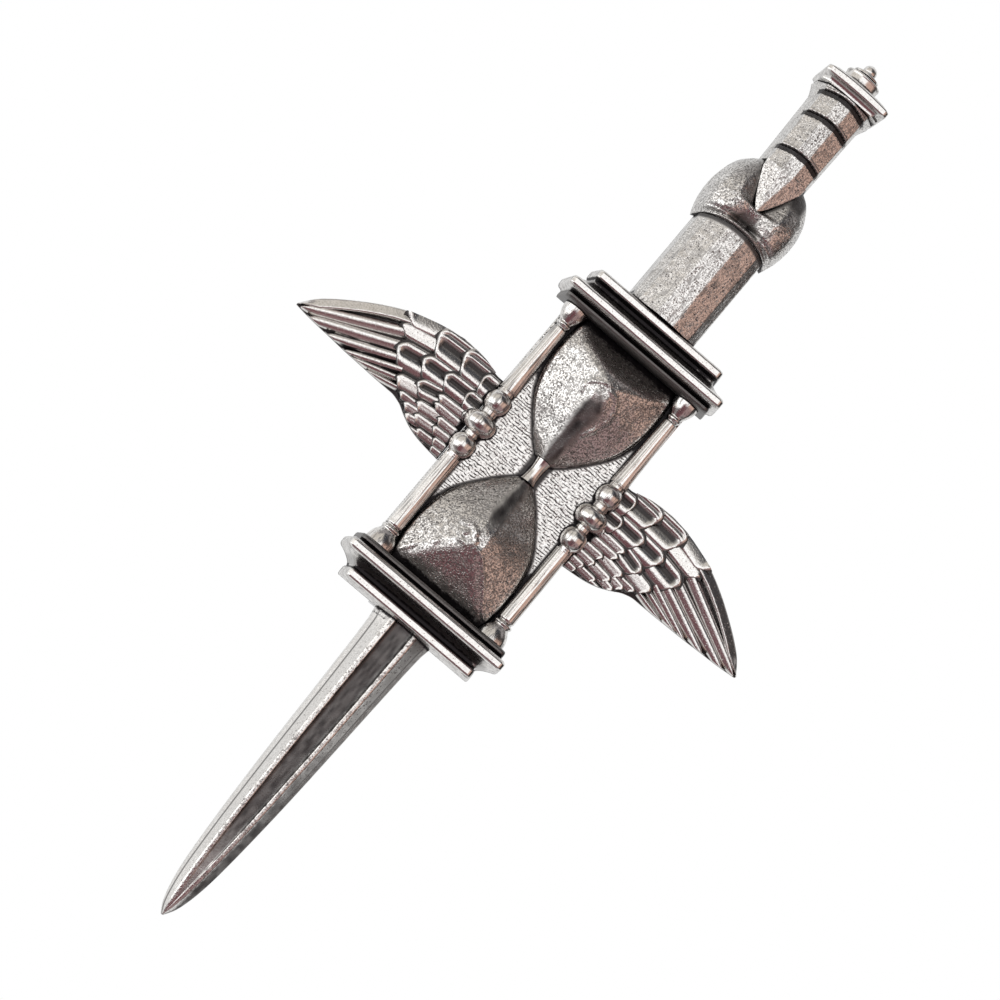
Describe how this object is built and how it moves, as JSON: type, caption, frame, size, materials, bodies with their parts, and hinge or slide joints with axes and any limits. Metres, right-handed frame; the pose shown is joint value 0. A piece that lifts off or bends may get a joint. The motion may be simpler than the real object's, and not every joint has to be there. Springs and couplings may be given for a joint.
{
  "type": "winged hourglass dagger kilt pin",
  "caption": "Cast pewter kilt pin: a dagger carrying a winged hourglass in a columned case, with a plain pin and catch behind it.",
  "frame": {"origin": "centre of the bounding box on the surface the pin lies on, face up", "axes": "+Y from the blade's tip to the pommel, +Z out of the front, +X across the wings to the viewer's right"},
  "size_m": [0.052, 0.1, 0.0127],
  "materials": {
    "pewter": "antiqued cast pewter, bright on the high places and blackened in the recesses, finely pitted",
    "pin_steel": "plain nickel-plated steel, satin"
  },
  "bodies": {
    "root": {"blade": "pewter", "lower_cap": "pewter", "upper_cap": "pewter", "back_panel": "pewter", "lower_bulb": "pewter", "neck": "pewter", "upper_bulb": "pewter", "column_left": "pewter", "column_right": "pewter", "wing_left": "pewter", "wing_right": "pewter", "grip": "pewter", "collar": "pewter", "handle": "pewter", "pommel_cap": "pewter", "finial": "pewter", "back_pin": "pin_steel"}
  },
  "joints": []
}
